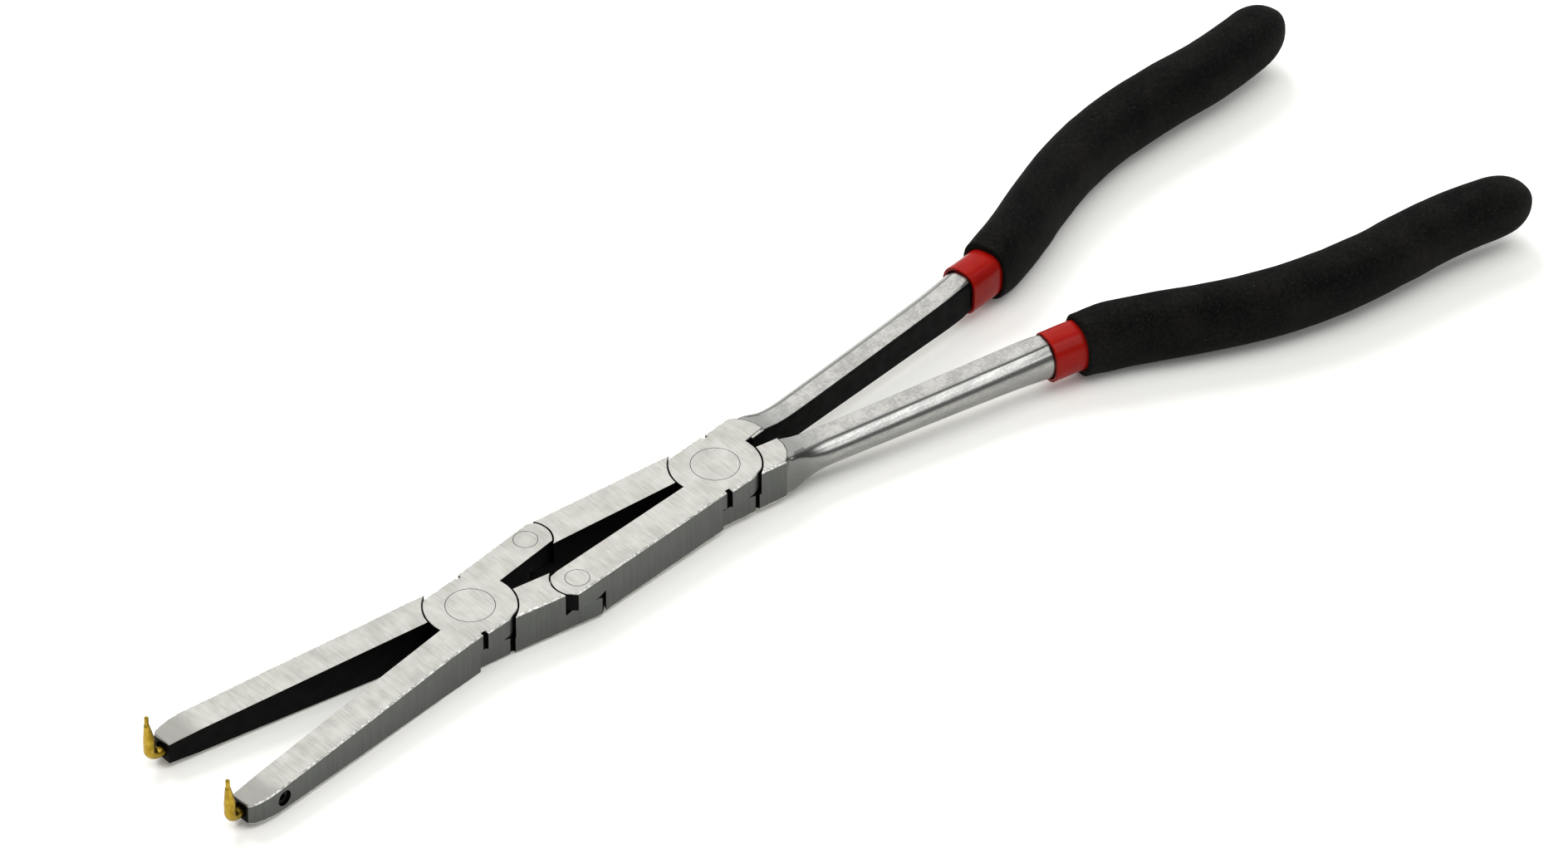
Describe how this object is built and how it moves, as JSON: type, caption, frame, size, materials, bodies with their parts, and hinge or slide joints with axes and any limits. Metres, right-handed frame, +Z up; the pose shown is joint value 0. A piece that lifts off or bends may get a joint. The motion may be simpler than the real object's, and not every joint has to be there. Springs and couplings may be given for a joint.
{
  "type": "double-pivot retaining-ring pliers",
  "caption": "Long-reach pliers with two linked pivots, upturned retaining-ring tips and foam grips; squeezing the handles closes the tips.",
  "frame": {"origin": "on the rear pivot's axis, at the underside of the steel", "axes": "+Y back along the tool to the grips, +Z up along the pivot axes, +X to the side of the upper jaw's tip"},
  "size_m": [0.1063, 0.4029, 0.0211],
  "materials": {
    "jaw_steel": "ground bright, brush lines across",
    "handle_steel": "ground bright, brush lines across, inner faces black",
    "pin_steel": "ground flush with the links",
    "tip_gold": "gold-coloured hard coating over steel",
    "screw_black": "black oxide",
    "liner_red": "glossy red vinyl",
    "grip_black": "matte black closed-cell foam"
  },
  "bodies": {
    "upper_handle": {"handle_upper": "handle_steel", "grip_liner_upper": "liner_red", "grip_upper": "grip_black", "rear_pivot_pin": "pin_steel", "link_pin_near": "pin_steel"},
    "lower_handle": {"handle_lower": "handle_steel", "grip_liner_lower": "liner_red", "grip_lower": "grip_black"},
    "lower_jaw": {"jaw_lower": "jaw_steel", "tip_lower": "tip_gold", "set_screw_lower": "screw_black", "front_pivot_pin": "pin_steel"},
    "upper_jaw": {"jaw_upper": "jaw_steel", "tip_upper": "tip_gold", "set_screw_upper": "screw_black", "link_pin_far": "pin_steel"}
  },
  "joints": [
    {"name": "handle_hinge", "type": "hinge", "parent": "upper_handle", "child": "lower_handle", "pos_m": [0, 0, 0.0058], "axis": [0, 0, -1], "range_deg": [-7.6, 7]},
    {"name": "near_link_hinge", "type": "hinge", "parent": "upper_handle", "child": "lower_jaw", "pos_m": [0.00969, -0.05373, 0.0058], "axis": [0, 0, -1], "range_deg": [-11.7, 10.8]},
    {"name": "jaw_hinge", "type": "hinge", "parent": "lower_jaw", "child": "upper_jaw", "pos_m": [0, -0.08, 0.0058], "axis": [0, 0, 1], "range_deg": [-15.7, 14.5]}
  ],
  "couplings": [
    {"joint": "near_link_hinge", "follows": "handle_hinge", "ratio": 1.5227},
    {"joint": "jaw_hinge", "follows": "handle_hinge", "ratio": 2.0453}
  ]
}
